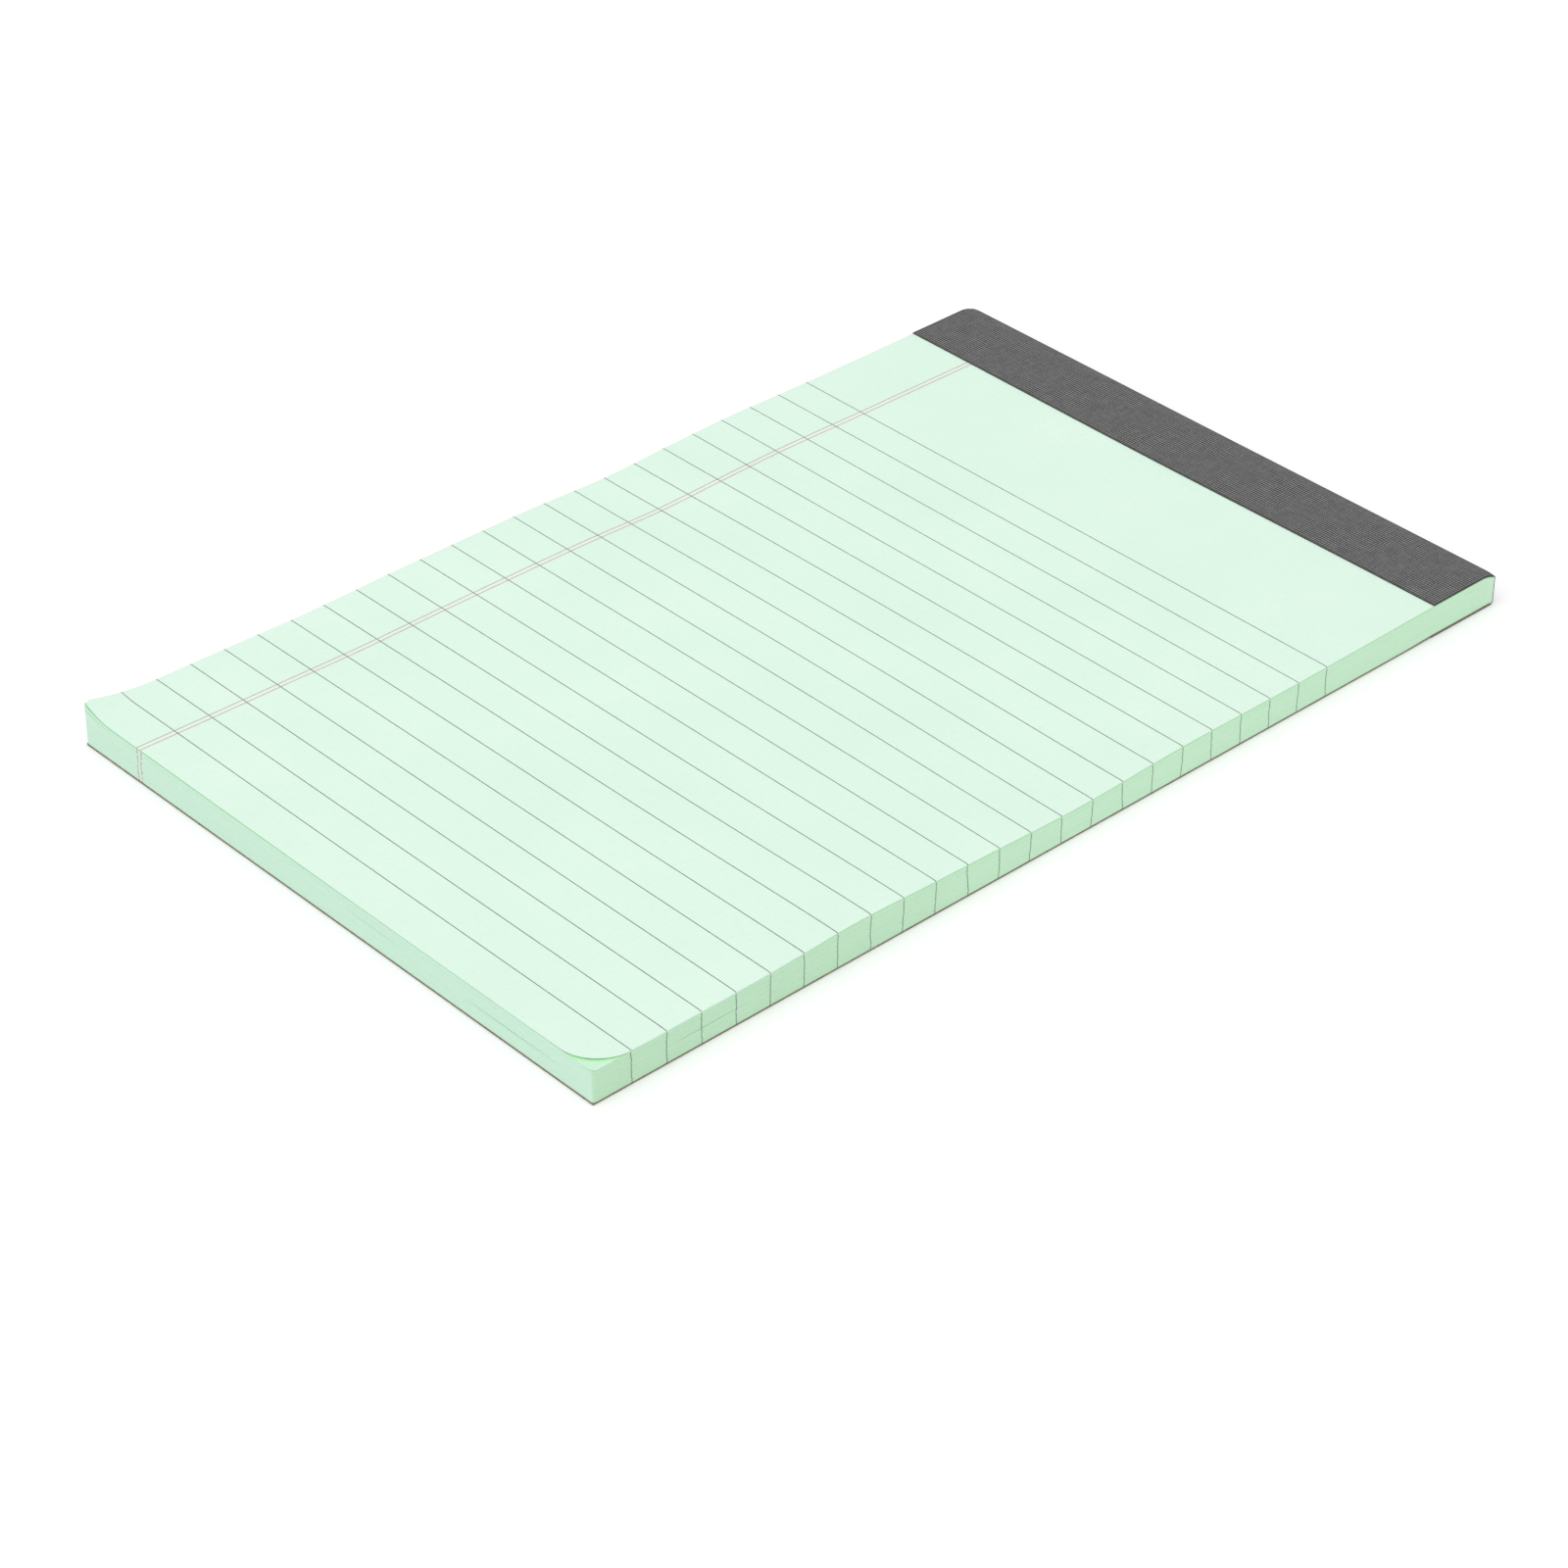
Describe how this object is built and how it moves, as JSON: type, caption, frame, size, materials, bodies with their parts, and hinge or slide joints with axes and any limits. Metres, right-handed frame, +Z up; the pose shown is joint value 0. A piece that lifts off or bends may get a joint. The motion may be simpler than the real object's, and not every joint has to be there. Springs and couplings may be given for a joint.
{
  "type": "notepad",
  "caption": "Ruled notepad with mint paper, a double margin line, a charcoal cloth tape wrapped over its head and a thin backing board.",
  "frame": {"origin": "centre of the pad's footprint, on the surface it lies on", "axes": "+X to the right across the sheet, +Y from the foot to the taped head, +Z up out of the top sheet"},
  "size_m": [0.127, 0.2036, 0.0085],
  "materials": {
    "paper": "matte uncoated mint paper",
    "board": "plain grey-brown board",
    "glue": "dried padding glue",
    "tape": "charcoal tape with a fine woven emboss",
    "ruling_ink": "thin grey-green print",
    "margin_ink": "thin reddish print"
  },
  "bodies": {
    "root": {"page_block": "paper", "backing_board": "board", "head_glue": "glue", "binding_tape": "tape", "ruled_lines": "ruling_ink", "margin_lines": "margin_ink"}
  },
  "joints": []
}
